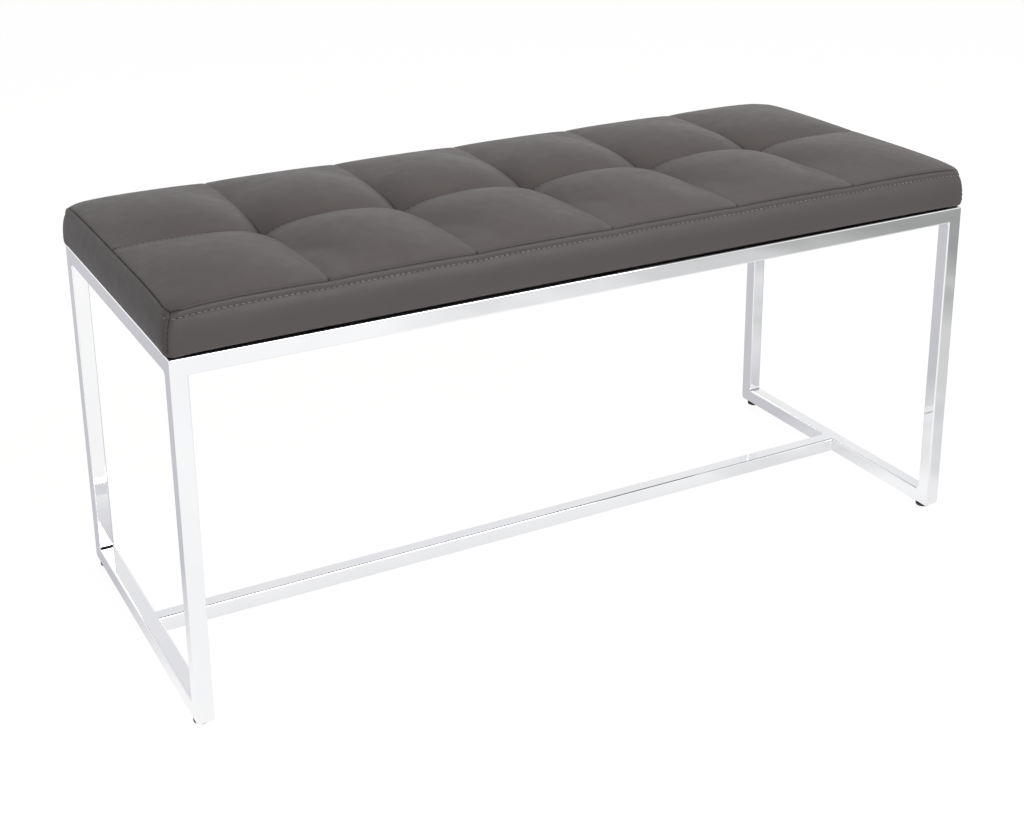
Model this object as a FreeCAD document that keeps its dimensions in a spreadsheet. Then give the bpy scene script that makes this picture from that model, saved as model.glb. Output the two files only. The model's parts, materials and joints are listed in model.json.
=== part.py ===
"""Narrow bench: a tufted pad on a frame of welded square tube, standing on levelling glides.

Millimetres. The origin is on the floor under the middle of the bench, X runs along its length,
Y runs from front to rear and Z points up.
"""
import FreeCAD
import Part
import Sketcher
import os
import re

from FreeCAD import Placement, Rotation, Vector

SIZES = [
    ("bench_length", 1016.0, "frame, outside to outside, along X"),
    ("bench_depth", 412.0, "frame, outside to outside, along Y"),
    ("frame_height", 414.0, "underside of the floor rails to the top of the seat rails"),
    ("tube_side", 19.0, "square tube, outside"),
    ("tube_wall", 1.5, "square tube, wall"),
    ("tube_edge_radius", 2.0, "rounding of the tube's long edges"),
    ("foot_corner_radius", 5.0, "outer lower corners of the end loops, ground round"),
    ("weld_radius", 4.0, "weld fillets in the inner corners"),
    ("foot_height", 5.0, "floor to the underside of the floor rails, glides screwed in"),
    ("glide_radius", 9.0, "glide base"),
    ("glide_edge_radius", 1.2, "rounding of the glide base"),
    ("glide_inset", 18.0, "glide axis to the front or rear face of the frame"),
    ("glide_floor", 1.5, "plastic under the head of the stud"),
    ("glide_gap", 0.1, "glide base to the flange of its rivet nut"),
    ("stud_radius", 3.0, "threaded stud of the glide"),
    ("stud_rise", 14.0, "stud above the underside of the floor rail"),
    ("stud_head_radius", 5.0, "head of the stud, held inside the glide base"),
    ("stud_head_height", 1.6, "head of the stud"),
    ("nut_flange_radius", 5.5, "rivet nut, flange under the rail"),
    ("nut_flange_thickness", 0.5, "rivet nut, flange"),
    ("nut_body_radius", 4.5, "rivet nut, body in the hole of the rail"),
    ("nut_crimp_radius", 6.0, "rivet nut, crimped ring inside the rail"),
    ("nut_crimp_height", 2.0, "rivet nut, crimped ring"),
    ("nut_length", 10.0, "rivet nut, from the underside of the rail"),
    ("fit_clearance", 0.05, "radial clearance of threads, pins and pressed parts"),
    ("tab_length", 30.0, "seat tab along the rail"),
    ("tab_reach", 12.0, "seat tab beyond the axis of its screw"),
    ("tab_thickness", 3.0, "seat tab"),
    ("tab_spacing", 340.0, "distance between the seat tabs of a rail"),
    ("screw_radius", 3.0, "seat screw"),
    ("screw_hole_clearance", 0.5, "radial room round the screw in tab, washer, spacer and dust cover"),
    ("screw_head_radius", 5.5, "seat screw, head"),
    ("screw_head_height", 3.5, "seat screw, head"),
    ("washer_radius", 8.0, "washer and spacer"),
    ("washer_thickness", 1.5, "washer under the tab"),
    ("tee_flange_radius", 9.5, "tee nut, flange let into the board"),
    ("tee_flange_thickness", 1.2, "tee nut, flange"),
    ("tee_barrel_radius", 4.0, "tee nut, barrel"),
    ("tee_barrel_length", 9.0, "tee nut, barrel"),
    ("pad_gap", 5.0, "top of the rails to the underside of the pad cover"),
    ("leather", 1.2, "thickness of the cover"),
    ("band_height", 46.0, "underside of the cover to the seam round the top"),
    ("side_bulge", 2.0, "bands, outwards at half height"),
    ("top_inset", 3.0, "seam round the top, inwards of the lower edge"),
    ("draw_in", 2.0, "front and rear, pulled in halfway between the corners"),
    ("end_draw_in", 1.0, "ends, pulled in halfway between the corners"),
    ("crown_rise", 20.0, "middle of a tufted square above the seam round the top"),
    ("ridge_rise", 1.0, "lengthwise seam above the seam round the top, halfway between tufts"),
    ("cross_seam_rise", 1.0, "cross seam above the seam round the top, halfway to the edge"),
    ("end_rise", 1.5, "top panel above the seam round the top, at the two ends"),
    ("tuft_depth", 12.0, "tufts below the seam round the top"),
    ("hem_width", 25.0, "cover turned under the board"),
    ("soft_clearance", 0.3, "foam and board to the cover"),
    ("board_thickness", 12.0, "plywood seat board"),
    ("dust_cover_inset", 12.0, "edge of the dust cover to the edge of the pad"),
    ("dust_cover_thickness", 0.6, "black cloth under the board"),
    ("tie_radius", 1.0, "tuft tie"),
    ("toggle_radius", 11.0, "toggle disc that holds a tie under the board"),
    ("toggle_thickness", 1.6, "toggle disc"),
    ("staple_length", 10.0, "crown of a staple"),
    ("staple_wire", 1.2, "width of the staple's wire"),
    ("staple_thickness", 0.6, "thickness of the staple's wire"),
    ("hem_staple_margin", 8.0, "hem staples to the raw edge of the hem"),
    ("dust_staple_margin", 6.0, "dust cover staples to the edge of the dust cover"),
]

COLUMNS = 6
SIDES = {"left": -1, "right": 1}
FACES = {"front": -1, "rear": 1}
TABS_PER_RAIL = 3
HEM_STAPLES = {"long": 16, "short": 6}
DUST_STAPLES = {"long": 12, "short": 5}

# Levels above the floor, as expressions of the sizes
RAIL_BOTTOM = "foot_height"
RAIL_TOP = "(foot_height + frame_height)"
PAD_BOTTOM = "(foot_height + frame_height + pad_gap)"
BOARD_BOTTOM = f"({PAD_BOTTOM} + leather)"
BOARD_TOP = f"({BOARD_BOTTOM} + board_thickness)"
TOP_SEAM = f"({PAD_BOTTOM} + band_height)"
HEM_STAPLE_BOTTOM = f"({PAD_BOTTOM} - staple_thickness)"
DUST_COVER_BOTTOM = f"({HEM_STAPLE_BOTTOM} - dust_cover_thickness)"
DUST_STAPLE_BOTTOM = f"({DUST_COVER_BOTTOM} - staple_thickness)"
TAB_BOTTOM = f"({RAIL_TOP} - tab_thickness)"
WASHER_BOTTOM = f"({TAB_BOTTOM} - washer_thickness)"
NUT_FLANGE_BOTTOM = "(foot_height - nut_flange_thickness)"
GLIDE_TOP = f"({NUT_FLANGE_BOTTOM} - glide_gap)"

# Plan distances from the middle of the bench
LOOP_X = "(bench_length / 2 - tube_side / 2)"
RAIL_Y = "(bench_depth / 2 - tube_side / 2)"
RAIL_LENGTH = "(bench_length - 2 * tube_side)"
SCREW_Y = "(bench_depth / 2 - hem_width - washer_radius)"
TAB_WIDTH = f"(bench_depth / 2 - tube_side - {SCREW_Y} + tab_reach)"
GLIDE_Y = "(bench_depth / 2 - glide_inset)"
BOARD_HALF_LENGTH = "(bench_length / 2 - end_draw_in - leather - soft_clearance)"
BOARD_HALF_DEPTH = "(bench_depth / 2 - draw_in - leather - soft_clearance)"
SCREW_HOLE = "(screw_radius + screw_hole_clearance)"

doc = FreeCAD.newDocument("narrow_bench")
sheet = doc.addObject("Spreadsheet::Sheet", "sizes")
for row, (alias, amount, meaning) in enumerate(SIZES, start=1):
    sheet.set(f"A{row}", meaning)
    sheet.set(f"B{row}", str(amount))
    sheet.setAlias(f"B{row}", alias)
doc.recompute()

ALIASES = [alias for alias, _, _ in SIZES]
nodes = []


def cells(expression):
    """Point every alias in an expression at its cell in the sheet."""
    return re.sub(r"[a-z_]+", lambda word: f"sizes.{word[0]}" if word[0] in ALIASES else word[0], expression)


def size(expression):
    """Value of an expression of the sizes, in millimetres."""
    return float(sheet.evalExpression(cells(expression)))


def bind(thing, **expressions):
    """Tie properties to the sheet; at_x, at_y and at_z stand for the place of the object."""
    for name, expression in expressions.items():
        path = f"Placement.Base.{name[3:]}" if name.startswith("at_") else name
        thing.setExpression(path, cells(str(expression)))
    return thing


def node(thing, label):
    """Name a sub-part after its file and keep it for the export."""
    thing.Label = label
    nodes.append(thing)
    return thing


def box(name, length, width, height, x, y, z):
    """Block of the given size with its lowest corner at x, y, z."""
    block = doc.addObject("Part::Box", name)
    return bind(block, Length=length, Width=width, Height=height, at_x=x, at_y=y, at_z=z)


def centred_box(name, length, width, height, x, y, z):
    """Block centred on x and y, standing on z."""
    return box(name, length, width, height, f"{x} - ({length}) / 2", f"{y} - ({width}) / 2", z)


def cylinder(name, radius, height, x, y, z):
    """Upright cylinder standing on z."""
    rod = doc.addObject("Part::Cylinder", name)
    return bind(rod, Radius=radius, Height=height, at_x=x, at_y=y, at_z=z)


def join(name, things):
    """Fuse objects into one."""
    fused = doc.addObject("Part::MultiFuse", name)
    fused.Shapes = things
    return fused


def cut(name, base, tools):
    """Cut one object by several."""
    result = doc.addObject("Part::Cut", name)
    result.Base = base
    result.Tool = tools[0] if len(tools) == 1 else join(f"{name}_tools", tools)
    return result


def group(label, things):
    """Separate solids that share a node."""
    compound = doc.addObject("Part::Compound", label)
    compound.Links = things
    return node(compound, label)


def shape_node(label, shape):
    """Sub-part whose shape is lofted in code from the sizes."""
    feature = doc.addObject("Part::Feature", label)
    feature.Shape = shape
    feature.Placement = Placement()
    return node(feature, label)


# Square tubes

def sketch_on(body, role, name):
    """Empty sketch on an origin plane of a body."""
    sketch = body.newObject("Sketcher::SketchObject", name)
    plane = next(feature for feature in body.Origin.OriginFeatures if feature.Role == role)
    sketch.AttachmentSupport = (plane, [""])
    sketch.MapMode = "FlatFace"
    return sketch


def sketch_rectangle(sketch, width, height):
    """Rectangle centred on the origin of the sketch, with both sides tied to the sheet."""
    right, top = size(width) / 2, size(height) / 2
    corners = [Vector(-right, -top), Vector(right, -top), Vector(right, top), Vector(-right, top)]
    first = sketch.GeometryCount
    for here, there in zip(corners, corners[1:] + corners[:1]):
        sketch.addGeometry(Part.LineSegment(here, there), False)
    for side in range(4):
        following = first + (side + 1) % 4
        sketch.addConstraint(Sketcher.Constraint("Coincident", first + side, 2, following, 1))
        direction = "Vertical" if side % 2 else "Horizontal"
        sketch.addConstraint(Sketcher.Constraint(direction, first + side))
    sketch.addConstraint(Sketcher.Constraint("Symmetric", first, 1, first + 2, 1, -1, 1))
    across = sketch.addConstraint(Sketcher.Constraint("DistanceX", first, 1, first, 2, 2 * right))
    sketch.setExpression(f"Constraints[{across}]", cells(width))
    along = sketch.addConstraint(Sketcher.Constraint("DistanceY", first + 1, 1, first + 1, 2, 2 * top))
    sketch.setExpression(f"Constraints[{along}]", cells(height))


def pad_both_ways(body, sketch, length, name):
    """Pad a sketch by half the length to each side of its plane."""
    pad = body.newObject("PartDesign::Pad", name)
    pad.Profile = sketch
    pad.SideType = "Symmetric"
    bind(pad, Length=length)
    doc.recompute()
    return pad


def fillet(body, base, radius, wanted, name):
    """Round the edges of a feature for which wanted(middle, tangent) is true."""
    names = []
    for index, edge in enumerate(base.Shape.Edges, start=1):
        halfway = (edge.FirstParameter + edge.LastParameter) / 2
        if wanted(edge.valueAt(halfway), edge.tangentAt(halfway)):
            names.append(f"Edge{index}")
    rounding = body.newObject("PartDesign::Fillet", name)
    rounding.Base = (base, names)
    bind(rounding, Radius=radius)
    doc.recompute()
    return rounding


def along_x(tangent):
    """True for an edge that runs along X."""
    return abs(tangent.x) > 0.99


def square_bar(name, length, x, y, z, hollow):
    """Square tube along X with rounded edges, centred on x, y, z; solid if it isn't hollow."""
    body = doc.addObject("PartDesign::Body", name)
    outline = sketch_on(body, "YZ_Plane", f"{name}_outline")
    sketch_rectangle(outline, "tube_side", "tube_side")
    pad = pad_both_ways(body, outline, length, f"{name}_pad")
    fillet(body, pad, "tube_edge_radius", lambda middle, tangent: along_x(tangent), f"{name}_edges")
    if hollow:
        inside = sketch_on(body, "YZ_Plane", f"{name}_inside")
        sketch_rectangle(inside, "tube_side - 2 * tube_wall", "tube_side - 2 * tube_wall")
        pocket = body.newObject("PartDesign::Pocket", f"{name}_bore")
        pocket.Profile = inside
        pocket.SideType = "Symmetric"
        bind(pocket, Length=f"{length} + tube_side")
    return bind(body, at_x=x, at_y=y, at_z=z)


def end_loop(side, sign):
    """Closed loop of tube at one end, polished flush where the rails meet it, cut at its mitres."""
    centre_x = f"{sign} * {LOOP_X}"
    centre_z = f"({RAIL_BOTTOM} + frame_height / 2)"
    body = doc.addObject("PartDesign::Body", f"loop_{side}")
    outline = sketch_on(body, "YZ_Plane", f"loop_{side}_outline")
    sketch_rectangle(outline, "bench_depth", "frame_height")
    sketch_rectangle(outline, "bench_depth - 2 * tube_side", "frame_height - 2 * tube_side")
    pad = pad_both_ways(body, outline, "tube_side", f"loop_{side}_pad")
    inner_half = size("bench_depth / 2 - tube_side") + size("tube_side") / 2
    inner = fillet(body, pad, "weld_radius",
                   lambda middle, tangent: along_x(tangent) and abs(middle.y) < inner_half,
                   f"loop_{side}_welds")
    feet = fillet(body, inner, "foot_corner_radius",
                  lambda middle, tangent: along_x(tangent) and abs(middle.y) > inner_half and middle.z < 0,
                  f"loop_{side}_feet")
    outer_half = size("bench_depth / 2 - tube_edge_radius / 2")
    side_face = size("tube_side / 2 - tube_edge_radius / 2")
    fillet(body, feet, "tube_edge_radius",
           lambda middle, tangent: abs(middle.x) > side_face
           or (along_x(tangent) and abs(middle.y) > outer_half and middle.z > 0),
           f"loop_{side}_edges")
    bind(body, at_x=centre_x, at_z=centre_z)

    # Joints with the long rails and the stretcher keep square, flush edges
    joint_x = f"{sign} * (bench_length / 2 - tube_side + tube_edge_radius / 2)"
    places = {face: (f"{way} * {RAIL_Y}", f"({RAIL_TOP} - tube_side / 2)") for face, way in FACES.items()}
    places["stretcher"] = ("0", f"({RAIL_BOTTOM} + tube_side / 2)")
    joints = [square_bar(f"joint_{side}_{place}", "tube_edge_radius", joint_x, y, z, False)
              for place, (y, z) in places.items()]
    skin = join(f"loop_{side}_skin", [body] + joints)

    # Inside of the tube, a ring of the wall's offset
    bore_width, bore_depth = "(tube_side - 2 * tube_wall)", "(bench_depth - 2 * tube_wall)"
    core_depth = "(bench_depth - 2 * tube_side + 2 * tube_wall)"
    core_height = "(frame_height - 2 * tube_side + 2 * tube_wall)"
    ring = centred_box(f"bore_{side}", bore_width, bore_depth, "frame_height - 2 * tube_wall",
                       centre_x, "0", f"{RAIL_BOTTOM} + tube_wall")
    core = centred_box(f"core_{side}", "tube_side", core_depth, core_height,
                       centre_x, "0", f"{RAIL_BOTTOM} + tube_side - tube_wall")
    hollow = cut(f"loop_{side}_hollow", skin, [cut(f"bore_ring_{side}", ring, [core])])

    # A square block on its corner reaches from the middle of the loop to two mitres
    mitre_meet = "(frame_height / 2 - bench_depth / 2)"
    pieces = {
        f"end_rail_{side}": (45, "0", mitre_meet),
        f"leg_front_{side}": (135, mitre_meet, "0"),
        f"floor_rail_{side}": (225, "0", f"(0 - {mitre_meet})"),
        f"leg_rear_{side}": (315, f"(0 - {mitre_meet})", "0"),
    }
    for label, (angle, y, z) in pieces.items():
        wedge = doc.addObject("Part::Box", f"{label}_mitres")
        wedge.Placement.Rotation = Rotation(Vector(1, 0, 0), angle)
        reach = "(bench_depth + frame_height)"
        bind(wedge, Length="3 * tube_side", Width=reach, Height=reach,
             at_x=f"{centre_x} - 1.5 * tube_side", at_y=y, at_z=f"{centre_z} + {z}")
        piece = doc.addObject("Part::Common", f"{label}_tube")
        piece.Base = hollow
        piece.Tool = wedge
        if label.startswith("floor_rail"):
            holes = [cylinder(f"nut_hole_{side}_{face}", "nut_body_radius + fit_clearance", "2 * tube_wall",
                              centre_x, f"{way} * {GLIDE_Y}", f"{RAIL_BOTTOM} - tube_wall / 2")
                     for face, way in FACES.items()]
            piece = cut(f"{label}_drilled", piece, holes)
        node(piece, label)


def weld_strip(name, length, direction, corner, towards):
    """Concave fillet along a corner between two tubes; towards gives the signs out of the corner."""
    across = [axis for axis in "xyz" if axis != direction]
    sides = {direction: length, across[0]: "weld_radius", across[1]: "weld_radius"}
    place = {direction: f"{corner[direction]} - ({length}) / 2"}
    centre = {direction: f"{corner[direction]} - ({length})"}
    for axis in across:
        place[axis] = corner[axis] if towards[axis] > 0 else f"{corner[axis]} - weld_radius"
        centre[axis] = f"{corner[axis]} + {towards[axis]} * weld_radius"
    block = box(f"{name}_block", sides["x"], sides["y"], sides["z"], place["x"], place["y"], place["z"])
    hollow = cylinder(f"{name}_round", "weld_radius", f"2 * ({length})",
                      centre["x"], centre["y"], centre["z"])
    turn = {"x": Rotation(Vector(0, 1, 0), 90), "y": Rotation(Vector(1, 0, 0), -90), "z": Rotation()}
    hollow.Placement.Rotation = turn[direction]
    return cut(name, block, [hollow])


def long_rails_and_welds():
    """Two seat rails, the stretcher, and the fillets where they meet the end loops."""
    flat = "tube_side - 2 * tube_edge_radius"
    inner_x = "(bench_length / 2 - tube_side)"
    rail_welds = []
    stretcher_welds = []
    for face, way in FACES.items():
        rail = square_bar(f"long_rail_{face}", RAIL_LENGTH, "0", f"{way} * {RAIL_Y}",
                          f"{RAIL_TOP} - tube_side / 2", True)
        node(rail, f"long_rail_{face}")
        for side, sign in SIDES.items():
            place, loop_face = f"{face}_{side}", f"{sign} * {inner_x}"
            under = {"x": loop_face, "y": f"{way} * {RAIL_Y}", "z": f"{RAIL_TOP} - tube_side"}
            rail_welds.append(weld_strip(f"weld_under_{place}", flat, "y", under, {"x": -sign, "z": -1}))
            beside = {"x": loop_face, "y": f"{way} * (bench_depth / 2 - tube_side)",
                      "z": f"{RAIL_TOP} - tube_side / 2"}
            rail_welds.append(weld_strip(f"weld_beside_{place}", flat, "z", beside, {"x": -sign, "y": -way}))
            low = {"x": loop_face, "y": f"{way} * tube_side / 2", "z": f"{RAIL_BOTTOM} + tube_side / 2"}
            stretcher_welds.append(weld_strip(f"weld_low_{place}", flat, "z", low, {"x": -sign, "y": way}))
    node(square_bar("stretcher", RAIL_LENGTH, "0", "0", f"{RAIL_BOTTOM} + tube_side / 2", True), "stretcher")
    group("rail_welds", rail_welds)
    group("stretcher_welds", stretcher_welds)


# Levelling glides

def glide(face, way, side, sign):
    """Threaded stud with a moulded base that turns with it; returns the rivet nut it screws into."""
    place = f"{face}_{side}"
    x, y = f"{sign} * {LOOP_X}", f"{way} * {GLIDE_Y}"
    flange = cylinder(f"nut_flange_{place}", "nut_flange_radius", "nut_flange_thickness",
                      x, y, NUT_FLANGE_BOTTOM)
    barrel = cylinder(f"nut_barrel_{place}", "nut_body_radius", "nut_length + nut_flange_thickness",
                      x, y, NUT_FLANGE_BOTTOM)
    crimp = cylinder(f"nut_crimp_{place}", "nut_crimp_radius", "nut_crimp_height",
                     x, y, f"{RAIL_BOTTOM} + tube_wall")
    thread = cylinder(f"nut_thread_{place}", "stud_radius + fit_clearance", "2 * nut_length",
                      x, y, f"{RAIL_BOTTOM} - nut_length / 2")
    nut = cut(f"rivet_nut_{place}", join(f"nut_solid_{place}", [flange, barrel, crimp]), [thread])

    head = cylinder(f"stud_head_{place}", "stud_head_radius", "stud_head_height", x, y, "glide_floor")
    shank = cylinder(f"stud_shank_{place}", "stud_radius", f"{RAIL_BOTTOM} + stud_rise - glide_floor",
                     x, y, "glide_floor")
    node(join(f"stud_{place}", [head, shank]), f"glide_stud_{place}")

    disc = cylinder(f"glide_disc_{place}", "glide_radius", GLIDE_TOP, x, y, "0")
    doc.recompute()
    rounded = doc.addObject("Part::Fillet", f"glide_round_{place}")
    rounded.Base = disc
    radius = size("glide_edge_radius")
    rims = [index for index, edge in enumerate(disc.Shape.Edges, start=1) if edge.Closed]
    rounded.Edges = [(index, radius, radius) for index in rims]
    seat = cylinder(f"glide_seat_{place}", "stud_head_radius + fit_clearance",
                    "stud_head_height + fit_clearance", x, y, "glide_floor")
    bore = cylinder(f"glide_bore_{place}", "stud_radius + fit_clearance", "foot_height", x, y, "glide_floor")
    node(cut(f"base_{place}", rounded, [seat, bore]), f"glide_base_{place}")
    return nut


# Seat fixings and board

def screw_places():
    """Plan places of the seat screws, as expressions, each with the sign of its rail and a name."""
    steps = range(-(TABS_PER_RAIL // 2), TABS_PER_RAIL // 2 + 1)
    return [(f"{step} * tab_spacing", f"{way} * {SCREW_Y}", way, f"{face}_{step + 1}")
            for face, way in FACES.items() for step in steps]


def tuft_places():
    """X of the cross seams, as expressions."""
    return [f"(bench_length * {column - COLUMNS / 2} / {COLUMNS})" for column in range(1, COLUMNS)]


def seat_fixings():
    """Tabs, spacers, screws, washers and tee nuts, one of each per fixing."""
    kinds = {"seat_tabs": [], "seat_spacers": [], "seat_washers": [], "seat_screws": [], "tee_nuts": []}
    spacer_height = f"({DUST_COVER_BOTTOM} - {RAIL_TOP})"
    for x, y, way, place in screw_places():
        plate = centred_box(f"tab_plate_{place}", "tab_length", TAB_WIDTH, "tab_thickness",
                            x, f"{way} * (bench_depth / 2 - tube_side - {TAB_WIDTH} / 2)", TAB_BOTTOM)
        tab_hole = cylinder(f"tab_hole_{place}", SCREW_HOLE, "2 * tab_thickness",
                            x, y, f"{TAB_BOTTOM} - tab_thickness / 2")
        kinds["seat_tabs"].append(cut(f"tab_{place}", plate, [tab_hole]))

        pillar = cylinder(f"spacer_solid_{place}", "washer_radius", spacer_height, x, y, RAIL_TOP)
        pillar_hole = cylinder(f"spacer_hole_{place}", SCREW_HOLE, f"2 * {spacer_height}",
                               x, y, f"{RAIL_TOP} - {spacer_height} / 2")
        kinds["seat_spacers"].append(cut(f"spacer_{place}", pillar, [pillar_hole]))

        disc = cylinder(f"washer_solid_{place}", "washer_radius", "washer_thickness", x, y, WASHER_BOTTOM)
        disc_hole = cylinder(f"washer_hole_{place}", SCREW_HOLE, "2 * washer_thickness",
                             x, y, f"{WASHER_BOTTOM} - washer_thickness / 2")
        kinds["seat_washers"].append(cut(f"washer_{place}", disc, [disc_hole]))

        head = cylinder(f"screw_head_{place}", "screw_head_radius", "screw_head_height",
                        x, y, f"{WASHER_BOTTOM} - screw_head_height")
        shank = cylinder(f"screw_shank_{place}", "screw_radius",
                         f"{BOARD_TOP} - tee_flange_thickness - {WASHER_BOTTOM}", x, y, WASHER_BOTTOM)
        kinds["seat_screws"].append(join(f"screw_{place}", [head, shank]))

        flange = cylinder(f"tee_flange_{place}", "tee_flange_radius", "tee_flange_thickness",
                          x, y, f"{BOARD_TOP} - tee_flange_thickness")
        barrel = cylinder(f"tee_barrel_{place}", "tee_barrel_radius", "tee_barrel_length",
                          x, y, f"{BOARD_TOP} - tee_flange_thickness - tee_barrel_length")
        thread = cylinder(f"tee_thread_{place}", "screw_radius + fit_clearance", "2 * board_thickness",
                          x, y, BOARD_BOTTOM)
        kinds["tee_nuts"].append(cut(f"tee_{place}", join(f"tee_solid_{place}", [flange, barrel]), [thread]))
    for label, things in kinds.items():
        group(label, things)


def seat_board():
    """Plywood board with holes for the tee nuts, the tuft ties and their toggles."""
    sheet_of_ply = centred_box("board_sheet", f"2 * {BOARD_HALF_LENGTH}", f"2 * {BOARD_HALF_DEPTH}",
                               "board_thickness", "0", "0", BOARD_BOTTOM)
    holes = []
    for x, y, _, place in screw_places():
        holes.append(cylinder(f"board_barrel_{place}", "tee_barrel_radius + fit_clearance",
                              "2 * board_thickness", x, y, f"{BOARD_BOTTOM} - board_thickness / 2"))
        holes.append(cylinder(f"board_flange_{place}", "tee_flange_radius + fit_clearance",
                              "2 * tee_flange_thickness", x, y, f"{BOARD_TOP} - tee_flange_thickness"))
    for index, x in enumerate(tuft_places(), start=1):
        holes.append(cylinder(f"board_tie_{index}", "tie_radius + soft_clearance", "2 * board_thickness",
                              x, "0", f"{BOARD_BOTTOM} - board_thickness / 2"))
        holes.append(cylinder(f"board_toggle_{index}", "toggle_radius + fit_clearance",
                              "2 * toggle_thickness", x, "0", f"{BOARD_BOTTOM} - toggle_thickness"))
    node(cut("board", sheet_of_ply, holes), "seat_board")


def dust_cover():
    """Black cloth stapled under the board, open at the seat screws."""
    inset = "2 * dust_cover_inset"
    cloth = centred_box("dust_cloth", f"bench_length - {inset}", f"bench_depth - {inset}",
                        "dust_cover_thickness", "0", "0", DUST_COVER_BOTTOM)
    holes = [cylinder(f"dust_hole_{place}", SCREW_HOLE, "4 * dust_cover_thickness",
                      x, y, f"{DUST_COVER_BOTTOM} - dust_cover_thickness")
             for x, y, _, place in screw_places()]
    node(cut("dust_sheet", cloth, holes), "dust_cover")


def staple_row(label, counts, inset, level):
    """Crowns of the staples round the pad, lying flat under what they hold."""
    staples = []
    for way in FACES.values():
        for index in range(counts["long"]):
            share = (index + 0.5) / counts["long"] - 0.5
            staples.append(centred_box(f"{label}_long_{way + 1}_{index}", "staple_length", "staple_wire",
                                       "staple_thickness", f"{share} * (bench_length - 2 * {inset})",
                                       f"{way} * (bench_depth / 2 - {inset})", level))
    for sign in SIDES.values():
        for index in range(counts["short"]):
            share = (index + 0.5) / counts["short"] - 0.5
            staples.append(centred_box(f"{label}_short_{sign + 1}_{index}", "staple_wire", "staple_length",
                                       "staple_thickness", f"{sign} * (bench_length / 2 - {inset})",
                                       f"{share} * (bench_depth - 2 * {inset} - 4 * staple_length)", level))
    group(label, staples)


def tuft_ties():
    """Cord from each crossing of the seams down to a toggle disc let into the board."""
    ties = []
    toggles = []
    top = f"({TOP_SEAM} - tuft_depth - leather - soft_clearance)"
    for index, x in enumerate(tuft_places(), start=1):
        ties.append(cylinder(f"tie_{index}", "tie_radius", f"{top} - {BOARD_BOTTOM} - toggle_thickness",
                             x, "0", f"{BOARD_BOTTOM} + toggle_thickness"))
        toggles.append(cylinder(f"toggle_{index}", "toggle_radius", "toggle_thickness", x, "0", BOARD_BOTTOM))
    group("tuft_ties", ties)
    group("tuft_toggles", toggles)


# Pad: bands, top panel and foam

def line(here, there):
    """Straight edge."""
    return Part.LineSegment(here, there).toShape()


def arc(here, through, there):
    """Circular edge through three points."""
    return Part.Arc(here, through, there).toShape()


def band_points(inwards):
    """Offset from the pad's plan and level of the band at bottom, half height and top, moved inwards."""
    bottom = size(PAD_BOTTOM)
    half = size("band_height") / 2
    return [(-inwards, bottom), (size("side_bulge") - inwards, bottom + half),
            (-size("top_inset") - inwards, bottom + 2 * half)]


def band_offset(level, inwards):
    """Offset of the band's face from the pad's plan at a level, on the circle through its three points."""
    (out_a, low), (out_b, middle), (out_c, high) = band_points(inwards)
    circle = arc(Vector(out_a, low, 0), Vector(out_b, middle, 0), Vector(out_c, high, 0)).Curve
    return circle.Center.x + (circle.Radius ** 2 - (level - circle.Center.y) ** 2) ** 0.5


def band_section(where):
    """Closed outline of a band: bulged face, hem under the board, and the inner face."""
    leather, hem = size("leather"), size("hem_width")
    top = size(TOP_SEAM) - leather - size("soft_clearance")
    bottom = size(PAD_BOTTOM)
    middle = (top + bottom) / 2
    outer = [where(band_offset(level, 0.0), level) for level in (top, middle, bottom)]
    shelf = bottom + leather
    inner_middle = (top + shelf) / 2
    inner = [where(band_offset(level, leather), level) for level in (shelf, inner_middle, top)]
    hem_low, hem_high = where(-hem, bottom), where(-hem, shelf)
    return Part.Wire([arc(*outer), line(outer[2], hem_low), line(hem_low, hem_high), line(hem_high, inner[0]),
                      arc(*inner), line(inner[2], outer[0])])


def bands():
    """Four bands, mitred at the corners and drawn in halfway along."""
    half_length, half_depth = size("bench_length") / 2, size("bench_depth") / 2
    draw_in, end_draw_in = size("draw_in"), size("end_draw_in")
    for face, way in FACES.items():
        sections = [band_section(lambda out, level, end=end: Vector(end * (half_length + out),
                                                                     way * (half_depth + out), level))
                    for end in (-1, 1)]
        middle = band_section(lambda out, level: Vector(0, way * (half_depth - draw_in + out), level))
        shape_node(f"cover_band_{face}", Part.makeLoft([sections[0], middle, sections[1]], True, False))
    for side, sign in SIDES.items():
        sections = [band_section(lambda out, level, end=end: Vector(sign * (half_length + out),
                                                                     end * (half_depth + out), level))
                    for end in (-1, 1)]
        middle = band_section(lambda out, level: Vector(sign * (half_length - end_draw_in + out), 0, level))
        shape_node(f"cover_band_{side}", Part.makeLoft([sections[0], middle, sections[1]], True, False))


def pad_stations(inwards):
    """X, depth of the section, and levels of the valley and the crown at ends, seams and mid squares."""
    half_length = size("bench_length") / 2
    end = half_length + band_offset(size(TOP_SEAM), inwards)
    if inwards:
        end -= size("end_draw_in")
    seam = size(TOP_SEAM)
    columns = []
    edges = [-end] + [size(place) for place in tuft_places()] + [end]
    for left, right in zip(edges, edges[1:]):
        stations = []
        for place in (left, (left + right) / 2, right):
            if place in (-end, end):
                valley, crown = seam + size("end_rise") / 2, seam + size("end_rise")
            elif place in edges:
                valley, crown = seam - size("tuft_depth"), seam + size("cross_seam_rise")
            else:
                valley, crown = seam + size("ridge_rise"), seam + size("crown_rise")
            pull = size("draw_in") * (1 - (place / half_length) ** 2)
            stations.append((place, pull, valley, crown))
        columns.append(stations)
    return columns


def top_points(pull, valley, crown, down, inwards):
    """Edge, crown and valley of a section's front half, moved down and in, in Y and Z."""
    seam = size(TOP_SEAM) - down
    edge = -(size("bench_depth") / 2 - pull + band_offset(size(TOP_SEAM), inwards))
    return [(edge, seam), (edge / 2, crown - down), (0.0, valley - down)]


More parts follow.
